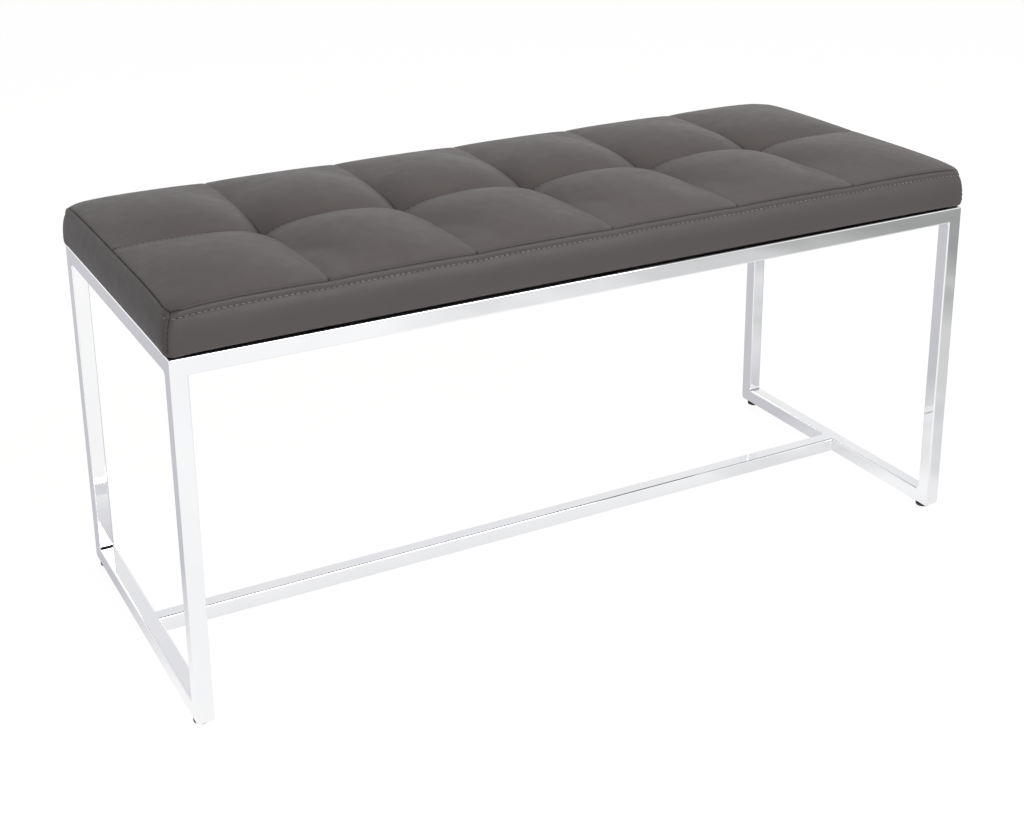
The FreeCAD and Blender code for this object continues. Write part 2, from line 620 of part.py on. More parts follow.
def top_edges(x, points):
    """Two arcs over the pad, from the front edge to the valley and on to the rear edge."""
    front = [Vector(x, y, z) for y, z in points]
    rear = [Vector(x, -y, z) for y, z in reversed(points)]
    return [arc(*front), arc(*rear)]


def panel_section(x, pull, valley, crown):
    """Closed outline of the top panel's leather across the pad."""
    outer = top_points(pull, valley, crown, 0.0, 0.0)
    inner = top_points(pull, valley, crown, size("leather"), 0.0)
    over, under = top_edges(x, outer), top_edges(x, inner)
    front = line(Vector(x, *outer[0]), Vector(x, *inner[0]))
    rear = line(Vector(x, -outer[0][0], outer[0][1]), Vector(x, -inner[0][0], inner[0][1]))
    return Part.Wire(Part.__sortEdges__(over + [rear] + under + [front]))


def foam_section(x, pull, valley, crown):
    """Closed outline of the foam: flat on the board, bulged at the sides, tufted on top."""
    inwards = size("leather + soft_clearance")
    points = top_points(pull, valley, crown, inwards, inwards)
    base = size(BOARD_TOP)
    top = points[0][1]
    half = size("bench_depth") / 2 - pull
    levels = (base, (base + top) / 2)
    low, middle = (half + band_offset(level, inwards) for level in levels)
    high = -points[0][0]
    front = arc(Vector(x, -low, base), Vector(x, -middle, levels[1]), Vector(x, -high, top))
    rear = arc(Vector(x, low, base), Vector(x, middle, levels[1]), Vector(x, high, top))
    floor = line(Vector(x, -low, base), Vector(x, low, base))
    return Part.Wire(Part.__sortEdges__([front] + top_edges(x, points) + [rear, floor]))


def tufted(section, inwards):
    """Loft each column of squares through its two seams and its middle, and join the columns."""
    columns = [Part.makeLoft([section(*station) for station in stations], True, False)
               for stations in pad_stations(inwards)]
    return columns[0].fuse(columns[1:]).removeSplitter()


def pad():
    """Tufted top panel and the foam under it."""
    bands()
    panel = tufted(panel_section, 0.0)
    shape_node("cover_top", panel.Solids[0])
    foam = tufted(foam_section, size("leather + soft_clearance"))
    radius = size("tie_radius + soft_clearance")
    holes = [Part.makeCylinder(radius, size("band_height"), Vector(size(x), 0, size(BOARD_TOP)))
             for x in tuft_places()]
    shape_node("seat_foam", foam.cut(holes).Solids[0])


def build():
    """Make every sub-part."""
    for side, sign in SIDES.items():
        end_loop(side, sign)
    long_rails_and_welds()
    nuts = [glide(face, way, side, sign) for face, way in FACES.items() for side, sign in SIDES.items()]
    group("rivet_nuts", nuts)
    seat_fixings()
    seat_board()
    dust_cover()
    staple_row("hem_staples", HEM_STAPLES, "(hem_width - hem_staple_margin)", HEM_STAPLE_BOTTOM)
    staple_row("dust_cover_staples", DUST_STAPLES, "(dust_cover_inset + dust_staple_margin)",
               DUST_STAPLE_BOTTOM)
    tuft_ties()
    pad()
    doc.recompute()


def check():
    """Stop if an object failed or a sub-part has no valid shape."""
    for thing in doc.Objects:
        if "Invalid" in thing.State or "Error" in thing.State:
            raise RuntimeError(f"{thing.Label} failed: {thing.State}")
    for thing in nodes:
        if thing.Shape.isNull() or not thing.Shape.isValid() or not thing.Shape.Solids:
            raise RuntimeError(f"{thing.Label} has no valid solid")


def write():
    """Write each sub-part to its own file."""
    os.makedirs("parts", exist_ok=True)
    for thing in nodes:
        thing.Shape.exportStep(f"parts/{thing.Label}.step")
        solids = len(thing.Shape.Solids)
        print(f"{thing.Label}: {solids} solid(s), {thing.Shape.Volume:.0f} mm3")


build()
check()
write()
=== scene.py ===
# %% [markdown]
# # A narrow bench with a tufted pad
# The bench is a leather-look pad on a frame of chromed square tube. The frame, the fixings and the
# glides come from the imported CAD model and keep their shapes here, with better finishes. The soft
# pad is modelled anew: a cover that is blown up with Blender's cloth, sewn and stitched.

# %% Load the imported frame
import json
import math

import bpy
import numpy as np
from mathutils import Euler, Matrix, Vector

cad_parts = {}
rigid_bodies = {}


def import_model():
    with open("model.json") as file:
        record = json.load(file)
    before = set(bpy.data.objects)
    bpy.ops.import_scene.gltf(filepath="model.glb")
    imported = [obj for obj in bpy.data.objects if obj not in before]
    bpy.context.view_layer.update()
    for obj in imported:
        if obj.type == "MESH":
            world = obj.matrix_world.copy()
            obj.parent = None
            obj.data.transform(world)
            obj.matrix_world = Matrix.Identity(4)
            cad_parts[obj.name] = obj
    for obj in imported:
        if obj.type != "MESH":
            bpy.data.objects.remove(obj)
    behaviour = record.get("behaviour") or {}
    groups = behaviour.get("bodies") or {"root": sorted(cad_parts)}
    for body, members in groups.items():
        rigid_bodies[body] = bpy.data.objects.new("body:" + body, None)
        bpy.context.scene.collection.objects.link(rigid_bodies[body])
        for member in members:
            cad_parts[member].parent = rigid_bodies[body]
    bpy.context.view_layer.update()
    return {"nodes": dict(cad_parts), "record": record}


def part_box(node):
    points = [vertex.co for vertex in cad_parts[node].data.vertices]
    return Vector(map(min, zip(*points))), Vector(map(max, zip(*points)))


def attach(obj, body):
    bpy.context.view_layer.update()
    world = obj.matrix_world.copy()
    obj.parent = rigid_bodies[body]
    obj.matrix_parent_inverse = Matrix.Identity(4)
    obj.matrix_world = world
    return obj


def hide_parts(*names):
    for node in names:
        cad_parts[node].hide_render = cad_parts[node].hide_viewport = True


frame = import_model()
MM = 0.001

# %% [markdown]
# ## The camera
# A camera comes first, because every later choice is judged through it. Its place, turn and focal
# length were found by fitting the frame's straight tubes to the photograph. In that picture the
# bench lies below the axis of the lens, so the camera looks higher than the picture's middle and
# its view is shifted down. Tilting it further down would lean the legs together instead.

# %% Camera
IMAGE_WIDTH, IMAGE_HEIGHT = 1024, 815
FOCAL_PIXELS = 1607.0
AXIS_ROW = 240
SENSOR_WIDTH = 36.0
CAMERA_PLACE = Vector((-0.8930, -1.6314, 1.0144))
CAMERA_TURN, CAMERA_DIP, CAMERA_ROLL = -28.16, 18.29, -0.53

camera_data = bpy.data.cameras.new("camera")
camera_data.sensor_width = SENSOR_WIDTH
camera_data.lens = FOCAL_PIXELS / IMAGE_WIDTH * SENSOR_WIDTH
camera_data.shift_y = (AXIS_ROW - IMAGE_HEIGHT / 2) / IMAGE_WIDTH
camera = bpy.data.objects.new("camera", camera_data)
aim = Euler((math.radians(90 - CAMERA_DIP), 0, math.radians(CAMERA_TURN))).to_matrix()
roll = Matrix.Rotation(math.radians(CAMERA_ROLL), 3, "Z")
camera.rotation_euler = (aim @ roll).to_euler()
camera.location = CAMERA_PLACE
bpy.context.scene.collection.objects.link(camera)
bpy.context.scene.camera = camera
print("lens %.1f mm, shift %.3f" % (camera_data.lens, camera_data.shift_y))

# %% [markdown]
# ## Helpers for modelling
# Operators act on whatever is selected, so each step starts from a clean selection and picks its
# vertices, edges or faces by where they are. NumPy reads and moves a mesh's vertices all at once.

# %% Selection helpers


def only(piece):
    """Make a piece the one selected and active object."""
    bpy.ops.object.select_all(action="DESELECT")
    piece.select_set(True)
    bpy.context.view_layer.objects.active = piece


def points(piece):
    """Places of a mesh's vertices, one row each."""
    place = np.empty(3 * len(piece.data.vertices))
    piece.data.vertices.foreach_get("co", place)
    return place.reshape(-1, 3)


def move_points(piece, place):
    """Put a mesh's vertices at new places."""
    piece.data.vertices.foreach_set("co", np.asarray(place, float).ravel())
    piece.data.update()


def edge_ends(piece):
    """Vertex numbers at the two ends of each edge."""
    ends = np.empty(2 * len(piece.data.edges), int)
    piece.data.edges.foreach_get("vertices", ends)
    return ends.reshape(-1, 2)


def select_edges(piece, wanted):
    """Select the edges in a list of truth values, and nothing else."""
    for kind in (piece.data.vertices, piece.data.edges, piece.data.polygons):
        kind.foreach_set("select", np.zeros(len(kind), bool))
    piece.data.edges.foreach_set("select", wanted)
    ends = np.zeros(len(piece.data.vertices), bool)
    ends[edge_ends(piece)[wanted].ravel()] = True
    piece.data.vertices.foreach_set("select", ends)


# %% [markdown]
# ## The pad's blank
# The cover is a top panel of six by two squares and four bands, all sewn together. It could be a
# box with a displacement, but leather over foam gets its look from tension, so it is made the way
# it is sewn: a flat blank with edges where the seams run, blown up between seams that are held
# down. The grid's lines fall on the seams, and the walls are extruded with a row for the topstitch.

# %% Cover sizes
COLUMNS, ROWS = 6, 2
CELLS_ALONG, CELLS_ACROSS = 28, 34
SEAM_ABOVE_BAND = 1.5 * MM
front_low, front_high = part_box("cover_band_front")
PAD_BOTTOM = front_low.z
TOP_SEAM = front_high.z + SEAM_ABOVE_BAND
HALF_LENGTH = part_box("leg_front_right")[1].x
HALF_DEPTH = -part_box("leg_front_right")[0].y
SQUARE_LENGTH = 2 * HALF_LENGTH / COLUMNS
TUFT_X = [SQUARE_LENGTH * (column - COLUMNS / 2) for column in range(1, COLUMNS)]
print("pad from z %.4f to seam %.4f" % (PAD_BOTTOM, TOP_SEAM))

# %% Profile of a band
# From the top seam down, in millimetres: how far out from the frame's plan, and how far below the seam
BAND_PROFILE = [(-1.7, 2.4), (-0.7, 5.2), (-1.5, 8.0), (-0.4, 10.5), (0.7, 15.0), (1.5, 21.0),
                (1.9, 28.0), (1.9, 35.0), (1.8, 42.0), (1.3, 46.4), (-0.5, 48.8), (-4.0, 49.1),
                (-11.0, 46.5), (-17.0, 46.0), (-25.0, 46.0)]
TOP_INSET = 3.2 * MM
STITCH_ROW, HEM_ROW = 3, 12
BAND_HEIGHT = BAND_PROFILE[-1][1] * MM
STITCH_DROP = BAND_PROFILE[STITCH_ROW - 1][1] * MM
print("band %.0f mm high, topstitch %.0f mm under its seam" % (BAND_HEIGHT / MM, STITCH_DROP / MM))

# %% Blank of the cover
bpy.ops.object.select_all(action="DESELECT")
bpy.ops.mesh.primitive_grid_add(x_subdivisions=COLUMNS * CELLS_ALONG,
                                y_subdivisions=ROWS * CELLS_ACROSS, size=1, location=(0, 0, 0))
cover = bpy.context.object
cover.name = "pad_cover"
bpy.ops.object.mode_set(mode="EDIT")
bpy.ops.mesh.select_mode(type="EDGE")
bpy.ops.mesh.select_all(action="SELECT")
bpy.ops.transform.resize(value=(2 * HALF_LENGTH, 2 * HALF_DEPTH, 1))
bpy.ops.mesh.region_to_loop()
for _ in BAND_PROFILE:
    bpy.ops.mesh.extrude_region_move(TRANSFORM_OT_translate={"value": (0, 0, -MM)})
bpy.ops.mesh.edge_face_add()
bpy.ops.object.mode_set(mode="OBJECT")
print("blank:", len(cover.data.vertices), "vertices")

# %% [markdown]
# ## Seams, tufts and the starting shape
# Each vertex of the blank gets its place from a few measured levels. The seam round the top dips
# where a cross seam meets it and sinks at the corners, and the tufts are the deepest points. The
# squares start as low domes that the cloth will fill out. Sculpting would do too, but levels that
# are written down can be compared with the photograph and corrected one by one.

# %% Levels of the seams
TUFT_LEVEL = TOP_SEAM - 13 * MM
RIDGE_LEVEL = TOP_SEAM + 4 * MM
EDGE_LEVEL = TOP_SEAM + 1.5 * MM
CORNER_LEVEL = TOP_SEAM - 4.5 * MM
EDGE_DIP, EDGE_DIP_REACH = 0.9 * MM, 22 * MM
CROSS_LEVEL, CROSS_RISE = EDGE_LEVEL - EDGE_DIP, 2.2 * MM
RIDGE_REACH, CROSS_REACH, CORNER_REACH = 25 * MM, 28 * MM, 24 * MM


def nearest(x, places):
    """Distance from x to the nearest of several places."""
    return np.min(np.abs(np.asarray(x)[..., None] - np.asarray(places)), axis=-1)


def ridge(x):
    """Level of the lengthwise seam: pulled down at each tuft, and a little at the ends."""
    ends = (EDGE_LEVEL - RIDGE_LEVEL) * np.exp((np.abs(x) - HALF_LENGTH) / RIDGE_REACH)
    tufts = (TUFT_LEVEL - RIDGE_LEVEL) * np.exp(-nearest(x, TUFT_X) / RIDGE_REACH)
    return RIDGE_LEVEL + tufts + ends


def cross(y):
    """Level of a cross seam: deepest at the tuft, and a little raised by the foam further out."""
    rise = CROSS_RISE * np.sin(math.pi * np.abs(y) / HALF_DEPTH) ** 2
    return CROSS_LEVEL + (TUFT_LEVEL - CROSS_LEVEL) * np.exp(-np.abs(y) / CROSS_REACH) + rise


def end_edge(y):
    """Level of the seam at the two ends, lower at its corners."""
    corner = np.exp((np.abs(y) - HALF_DEPTH) / CORNER_REACH)
    return EDGE_LEVEL + (CORNER_LEVEL - EDGE_LEVEL) * corner


def long_edge(x):
    """Level of the seam at front and rear, dipping at cross seams and corners."""
    corner = np.exp((np.abs(x) - HALF_LENGTH) / CORNER_REACH)
    dip = EDGE_DIP * np.exp(-(nearest(x, TUFT_X) / EDGE_DIP_REACH) ** 2)
    return EDGE_LEVEL - dip + (CORNER_LEVEL - EDGE_LEVEL) * corner


for name, level in (("tuft", TUFT_LEVEL), ("ridge", RIDGE_LEVEL), ("edge", EDGE_LEVEL)):
    print(name, "level %.4f" % level)

# %% [markdown]
# A square's top is a patch hung from its four seams: the level between the ridge and the edge, plus
# the level between its left and right seams, less what its corners would give twice. A dome is
# added. Near the tufts it is round, and towards the band it runs out softly into the cross seams.

# %% Levels of the top panel
START_CROWN = 6.5 * MM
SOFT_FROM, SOFT_TO = 0.35, 0.85


def panel_level(x, y):
    """Level of the top panel: a patch hung from a square's four seams, plus a low dome."""
    column = np.clip(np.floor((x + HALF_LENGTH) / SQUARE_LENGTH), 0, COLUMNS - 1)
    left = column * SQUARE_LENGTH - HALF_LENGTH
    right = left + SQUARE_LENGTH
    u = (x - left) / SQUARE_LENGTH
    v = np.abs(y) / HALF_DEPTH
    at_left = np.where(column == 0, end_edge(y), cross(y))
    at_right = np.where(column == COLUMNS - 1, end_edge(y), cross(y))
    inner = (1 - v) * ridge(x) + v * long_edge(x)
    sides = (1 - u) * at_left + u * at_right
    at_tufts = (1 - u) * (1 - v) * ridge(left) + u * (1 - v) * ridge(right)
    at_edge = (1 - u) * v * long_edge(left) + u * v * long_edge(right)
    firm, soft = 4 * u * (1 - u), (1 - np.cos(2 * math.pi * u)) / 2
    across = firm + (soft - firm) * np.interp(v, [SOFT_FROM, SOFT_TO], [0, 1])
    dome = across * 4 * v * (1 - v)
    return inner + sides - (at_tufts + at_edge) + START_CROWN * dome


print("start crown %.1f mm" % (START_CROWN / MM))

# %% [markdown]
# The plan of the pad is a rectangle with small rounded corners, and its long sides and ends are
# drawn in a little between them. Under the corners the leather sags until it rests on the frame, so
# the dark gap under the pad closes there, as it does on the real bench.

# %% Plan of the blank
CORNER_ROUND, TOP_CORNER_ROUND = 10 * MM, 16 * MM
TOP_ROWS = 4
LONG_PULL, END_PULL = 2.0 * MM, 1.0 * MM
END_BULGE, BULGE_FROM, BULGE_TO = 1.6 * MM, 12 * MM, 38 * MM
TINY = 1e-9


def rounded(x, y, radius):
    """Plan place of a point, with the pad's corners rounded to a radius."""
    over_x = np.maximum(np.abs(x) - (HALF_LENGTH - radius), 0)
    over_y = np.maximum(np.abs(y) - (HALF_DEPTH - radius), 0)
    far = np.maximum(over_x, over_y)
    round_off = np.where(far > 0, far / np.maximum(np.hypot(over_x, over_y), TINY), 1)
    return (np.sign(x) * (np.minimum(np.abs(x), HALF_LENGTH - radius) + over_x * round_off),
            np.sign(y) * (np.minimum(np.abs(y), HALF_DEPTH - radius) + over_y * round_off))


flat = points(cover)
row_of = np.rint(-flat[:, 2] / MM).astype(int)
plan_x, plan_y = flat[:, 0], flat[:, 1]
corner_radius = np.interp(row_of, [0, TOP_ROWS], [TOP_CORNER_ROUND, CORNER_ROUND])
round_x, round_y = rounded(plan_x, plan_y, corner_radius)
outwards = np.array([-TOP_INSET / MM] + [out for out, _ in BAND_PROFILE])[row_of] * MM
below = np.array([0.0] + [drop for _, drop in BAND_PROFILE])[row_of] * MM
long_pull = LONG_PULL * (1 - (plan_x / HALF_LENGTH) ** 2)
end_pull = END_PULL * (1 - (plan_y / HALF_DEPTH) ** 2)
end_bulge = END_BULGE * np.interp(below, [BULGE_FROM, BULGE_TO], [0, 1])
place = np.empty_like(flat)
place[:, 0] = round_x * (1 + (outwards + end_bulge - end_pull) / HALF_LENGTH)
place[:, 1] = round_y * (1 + (outwards - long_pull) / HALF_DEPTH)
print("plan: %.4f by %.4f" % (np.ptp(place[:, 0]), np.ptp(place[:, 1])))

# %% Heights of the blank
CORNER_SAG, CORNER_SAG_REACH = 1.4 * MM, 18 * MM
SAG_FROM, SAG_TO = 12 * MM, 2 * MM
TOUCH = 0.1 * MM
at_side = np.abs(plan_y) > HALF_DEPTH - TOUCH
at_end = np.abs(plan_x) > HALF_LENGTH - TOUCH
edge_level = np.where(at_side, long_edge(plan_x), end_edge(plan_y))
from_corner = np.hypot(np.abs(plan_x) - HALF_LENGTH, np.abs(plan_y) - HALF_DEPTH)
sag = CORNER_SAG * np.exp(-(from_corner / CORNER_SAG_REACH) ** 2)
sag *= np.interp(outwards, [-SAG_FROM, -SAG_TO], [0, 1])
share_down = below / BAND_HEIGHT
wall_level = (1 - share_down) * edge_level + share_down * (PAD_BOTTOM - sag)
place[:, 2] = np.where(row_of == 0, panel_level(plan_x, plan_y), wall_level)
move_points(cover, place)
print("start: %.4f to %.4f high" % (place[:, 2].min(), place[:, 2].max()))

# %% [markdown]
# On the real pad the seams hold the leather: the ties pull down the tufts, and the hem is stapled
# under the board. The vertices on those lines are gathered in a group that the cloth leaves where
# they are. The outer part of a cross seam is left free, because nothing ties it to the board.

# %% Which vertices lie on seams
CROSS_HELD = 0.55
on_long_seam = (row_of == 0) & (np.abs(plan_y) < TOUCH)
on_cross_seam = (row_of == 0) & (nearest(plan_x, TUFT_X) < TOUCH)
on_top_seam = (row_of == 0) & (at_side | at_end)
on_corner_seam = at_side & at_end & (row_of <= HEM_ROW)
on_topstitch = (row_of == STITCH_ROW) & at_side
pulled_down = on_cross_seam & (np.abs(plan_y) < CROSS_HELD * HALF_DEPTH)
held = on_long_seam | pulled_down | on_top_seam | on_corner_seam | on_topstitch | (row_of >= HEM_ROW)
for name, members in (("held", held), ("squares", row_of == 0)):
    group = cover.vertex_groups.new(name=name)
    group.add([int(number) for number in np.flatnonzero(members)], 1.0, "REPLACE")
ends = edge_ends(cover)
seam_edges = np.zeros(len(ends), bool)
for line in (on_long_seam, on_cross_seam, on_top_seam, on_corner_seam):
    seam_edges |= line[ends].all(axis=1)
cover.data.edges.foreach_set("use_seam", seam_edges)
print("held:", int(held.sum()), "of", len(held), "vertices; seam edges:", int(seam_edges.sum()))

# %% [markdown]
# ## Blowing the cover up
# Blender's cloth does what the foam does. The leather gets a little slack, pressure pushes each
# square out until it is tight, and the held seams and tufts pull it into soft valleys. Gravity is
# off, a few frames are enough, and no point may move further than a cap. The result is applied, so
# no simulation is left on the piece.

# %% Cloth
PRESSURE = 5.0
SLACK = 0.005
FRAMES = 12
MOST_MOVE = 12 * MM


def blow_up(piece):
    """Run the cloth for a few frames, cap its movement and keep the shape."""
    before = points(piece)
    cloth = piece.modifiers.new("cloth", "CLOTH")
    leather = cloth.settings
    leather.quality = 3
    leather.mass = 0.1
    leather.tension_stiffness = 5
    leather.compression_stiffness = 5
    leather.shear_stiffness = 2
    leather.bending_stiffness = 6
    leather.shrink_max = -SLACK
    leather.vertex_group_shrink = "squares"
    leather.vertex_group_mass = "held"
    leather.use_pressure = True
    leather.uniform_pressure_force = PRESSURE
    leather.effector_weights.gravity = 0
    cloth.collision_settings.use_collision = False
    cloth.point_cache.frame_start = 1
    cloth.point_cache.frame_end = FRAMES
    for number in range(1, FRAMES + 1):
        bpy.context.scene.frame_set(number)
    only(piece)
    bpy.ops.object.modifier_apply(modifier="cloth")
    bpy.context.scene.frame_set(1)
    move = points(piece) - before
    length = np.linalg.norm(move, axis=1, keepdims=True)
    move *= np.minimum(1, MOST_MOVE / np.maximum(length, TINY))
    move_points(piece, before + move)
    print("cloth moved %.1f mm at most, %.1f on average" % (length.max() / MM, length.mean() / MM))


blow_up(cover)
print("pad top %.4f" % points(cover)[:, 2].max())

# %% [markdown]
# ## Sewn seams
# A sewn seam is a narrow valley: both layers turn under and the thread pulls them down. A crease
# weight alone would only sharpen the fold. Here the seam edges are bevelled into a strip two faces
# wide, and the line along its middle is pushed in: deep round the edge, a little at the corners and
# near the tufts, and hardly at all along the rest of the squares.

# %% Bevel the seams
SEAM_HALF_WIDTH = 1.2 * MM
SEAM_CREASE = 1.0
MOST_SIDES = 8


def underside(piece, action):
    """Take out the one big face under the pad, or put it back over the open edge."""
    only(piece)
    bpy.ops.object.mode_set(mode="EDIT")
    bpy.ops.mesh.select_all(action="DESELECT")
    if action == "open":
        bpy.ops.mesh.select_face_by_sides(number=MOST_SIDES, type="GREATER")
        bpy.ops.mesh.delete(type="ONLY_FACE")
    else:
        bpy.ops.mesh.select_non_manifold()
        bpy.ops.mesh.edge_face_add()
    bpy.ops.object.mode_set(mode="OBJECT")


underside(cover, "open")
marked = np.zeros(len(cover.data.edges), bool)
cover.data.edges.foreach_get("use_seam", marked)
select_edges(cover, marked)
bpy.ops.object.mode_set(mode="EDIT")
bpy.ops.mesh.bevel(offset=SEAM_HALF_WIDTH, segments=2, affect="EDGES")
bpy.ops.mesh.select_mode(type="VERT")
bpy.ops.mesh.select_less()
bpy.ops.transform.edge_crease(value=SEAM_CREASE)
bpy.ops.object.mode_set(mode="OBJECT")
middle = np.zeros(len(cover.data.vertices), bool)
cover.data.vertices.foreach_get("select", middle)
print("seam line:", int(middle.sum()), "vertices")

# %% Push the seams in
PANEL_SEAM_DEPTH, EDGE_SEAM_DEPTH, CORNER_SEAM_DEPTH = 0.2 * MM, 2.8 * MM, 0.9 * MM
TUFT_SEAM_DEPTH, TUFT_REACH = 2.0 * MM, 40 * MM
FADE_FROM, FADE_TO, FADED = 0.3, 0.8, 0.35
EDGE_ZONE, CORNER_ZONE = 8.5 * MM, 16 * MM
sewn = points(cover)
sewn_x, sewn_y, sewn_z = np.abs(sewn[:, 0]), np.abs(sewn[:, 1]), sewn[:, 2]
near_edge = (sewn_x > HALF_LENGTH - EDGE_ZONE) | (sewn_y > HALF_DEPTH - EDGE_ZONE)
from_tuft = np.hypot(nearest(sewn[:, 0], TUFT_X), sewn_y)
fade = np.interp(sewn_y / HALF_DEPTH, [FADE_FROM, FADE_TO], [1, FADED])
panel_depth = PANEL_SEAM_DEPTH * fade + TUFT_SEAM_DEPTH * np.exp(-from_tuft / TUFT_REACH)
from_corner = np.hypot(sewn_x - HALF_LENGTH, sewn_y - HALF_DEPTH)
edge_depth = np.where(from_corner < CORNER_ZONE, CORNER_SEAM_DEPTH, EDGE_SEAM_DEPTH)
depth = np.where(near_edge, edge_depth, panel_depth) * middle
normals = np.empty(3 * len(middle))
cover.data.vertices.foreach_get("normal", normals)
move_points(cover, sewn - normals.reshape(-1, 3) * depth[:, None])
print("deepest seam %.1f mm" % (depth.max() / MM))

# %% [markdown]
# Little light reaches the bottom of a seam. A valley this narrow is hard to shade by geometry alone,
# so the shade is painted: the mesh carries an attribute that says how much painted shade each seam
# gets, most round the edge and at the tufts. The leather's finish reads it later.

# %% Painted shade of the seams
EDGE_SHADE, CORNER_SHADE, PANEL_SHADE = 1.0, 0.25, 0.04
TUFT_SHADE, SHADE_REACH = 0.7, 55 * MM
UNDER_TOP_SEAM = 6 * MM
on_upright = sewn_z < TOP_SEAM - UNDER_TOP_SEAM
edge_shade = np.where(on_upright, CORNER_SHADE, EDGE_SHADE)
panel_shade = PANEL_SHADE + TUFT_SHADE * np.exp(-from_tuft / SHADE_REACH)
# painted shade along the middle line of each seam
shade = cover.data.attributes.new("painted_seam_shade", "FLOAT", "POINT")
shade.data.foreach_set("value", np.where(near_edge, edge_shade, panel_shade) * middle)
print("seam shade on", len(shade.data), "vertices")

# %% [markdown]
# One subdivision rounds the cover off, with the creased seam lines kept. It is done with the
# underside open, because subdividing one face of several hundred sides takes far too long, and the
# underside is closed again afterwards.

# %% Smooth the cover and close it underneath
only(cover)
bpy.ops.object.shade_smooth()
smooth = cover.modifiers.new("smooth", "SUBSURF")
smooth.levels = smooth.render_levels = 1
bpy.ops.object.modifier_apply(modifier="smooth")
underside(cover, "close")
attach(cover, "frame")
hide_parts("cover_top", "cover_band_front", "cover_band_rear", "cover_band_left",
            "cover_band_right", "seat_foam")
bpy.context.view_layer.update()
print("cover:", len(cover.data.polygons), "faces")

# %% [markdown]
# ## Stitches
# A stitch is a short length of thread whose ends dive into the leather. A bump texture would blur
# it, so one stitch is modelled from a six-sided cylinder with flattened, lowered ends. An attribute
# marks its two tips for painted shade, which stands for the shadow in the needle's holes.

# %% One stitch
STITCH_LENGTH, STITCH_THICK = 6.2 * MM, 1.5 * MM
STITCH_STRAIGHT = 0.5
STITCH_DIVE = 0.2 * MM
THREAD_SIDES = 6
TIP_SIZE = (1, 0.9, 0.55)
RIM_SHADE = 0.25
bpy.ops.object.select_all(action="DESELECT")
bpy.ops.mesh.primitive_cylinder_add(vertices=THREAD_SIDES, radius=STITCH_THICK / 2,
                                    depth=STITCH_LENGTH * STITCH_STRAIGHT, rotation=(0, math.pi / 2, 0))
bpy.ops.object.transform_apply(rotation=True)
stitch = bpy.context.object
bpy.ops.object.mode_set(mode="EDIT")
bpy.ops.mesh.select_mode(type="FACE")
bpy.ops.mesh.select_all(action="DESELECT")
bpy.ops.mesh.select_face_by_sides(number=THREAD_SIDES, type="EQUAL")
bpy.ops.mesh.extrude_faces_move(
    TRANSFORM_OT_shrink_fatten={"value": STITCH_LENGTH * (1 - STITCH_STRAIGHT) / 2})
bpy.ops.transform.resize(value=TIP_SIZE)
bpy.ops.transform.translate(value=(0, 0, -STITCH_DIVE))
bpy.ops.object.mode_set(mode="OBJECT")
bpy.ops.object.shade_smooth()
# painted shade: full at the stitch's tips for the needle's holes, a quarter of it elsewhere
hole = stitch.data.attributes.new("needle_hole_shade", "FLOAT", "POINT")
at_tip = np.abs(points(stitch)[:, 0]) > STITCH_LENGTH * (1 + STITCH_STRAIGHT) / 4
hole.data.foreach_set("value", np.where(at_tip, 1.0, RIM_SHADE))
print("stitch:", len(stitch.data.polygons), "faces,", [round(size / MM, 2) for size in stitch.dimensions])

# %% [markdown]
# Copies of the stitch go to their places on the finished cover. Those are found by casting rays at
# it, so that every stitch lies on the leather and follows its slope, which a modifier on a curve
# would only do roughly.

# %% Sewing helpers


def on_cover(start, towards):
    """Where a ray meets the cover, and the cover's normal there."""
    found, spot, normal, _ = cover.ray_cast(Vector(start), Vector(towards).normalized())
    if not found:
        raise ValueError("no leather from %s" % (start,))
    return spot, normal


def sew(name, runs, lift=0.0, size=(1, 1, 1)):
    """Copy the stitch along each run of rays, joined into one row riding on the frame."""
    copies = []
    for run in runs:
        seats = [on_cover(start, towards) for start, towards in run]
        for number, (spot, up) in enumerate(seats):
            before = seats[max(number - 1, 0)][0]
            after = seats[min(number + 1, len(seats) - 1)][0]
            side = up.cross(after - before).normalized()
            along = side.cross(up)
            turn = Matrix((along, side, up)).transposed().to_4x4() @ Matrix.Diagonal((*size, 1))
            copy = stitch.copy()
            copy.data = stitch.data.copy()
            copy.matrix_world = Matrix.Translation(spot + up * lift) @ turn
            bpy.context.scene.collection.objects.link(copy)
            copies.append(copy)
    only(copies[0])
    for copy in copies:
        copy.select_set(True)
    bpy.ops.object.join()
    bpy.ops.object.transform_apply(location=True, rotation=True, scale=True)
    row = bpy.context.object
    row.name = name
    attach(row, "frame")
    print(name, "has", len(copies), "stitches")
    return row


def spread(low, high, pitch):
    """Evenly spaced places between two limits, about a pitch apart."""
    return np.linspace(low, high, int(round((high - low) / pitch)) + 1)


# %% [markdown]
# The topstitch runs along the front and rear bands and a few stitches round each corner. Smaller
# stitches close the four upright seams, and one row lies just in front of the lengthwise seam.

# %% Where the stitches go
STITCH_PITCH, CORNER_PITCH = 6.4 * MM, 6.0 * MM
ROW_MARGIN, RIDGE_MARGIN = 9 * MM, 16 * MM
CORNER_FOOT, CORNER_HEAD = 5 * MM, 12 * MM
RIDGE_OFFSET = 2.4 * MM
ROUND_THE_CORNER = 3
FAR, BESIDE = 0.8, 0.1
BOTH_WAYS = (-1, 1)
share = STITCH_DROP / BAND_HEIGHT
row_x = spread(-HALF_LENGTH + ROW_MARGIN, HALF_LENGTH - ROW_MARGIN, STITCH_PITCH)
row_z = (1 - share) * long_edge(row_x) + share * PAD_BOTTOM
end_y = HALF_DEPTH - ROW_MARGIN - STITCH_PITCH * np.arange(ROUND_THE_CORNER)
end_z = (1 - share) * end_edge(end_y) + share * PAD_BOTTOM
corner_z = spread(PAD_BOTTOM + CORNER_FOOT, TOP_SEAM - CORNER_HEAD, CORNER_PITCH)
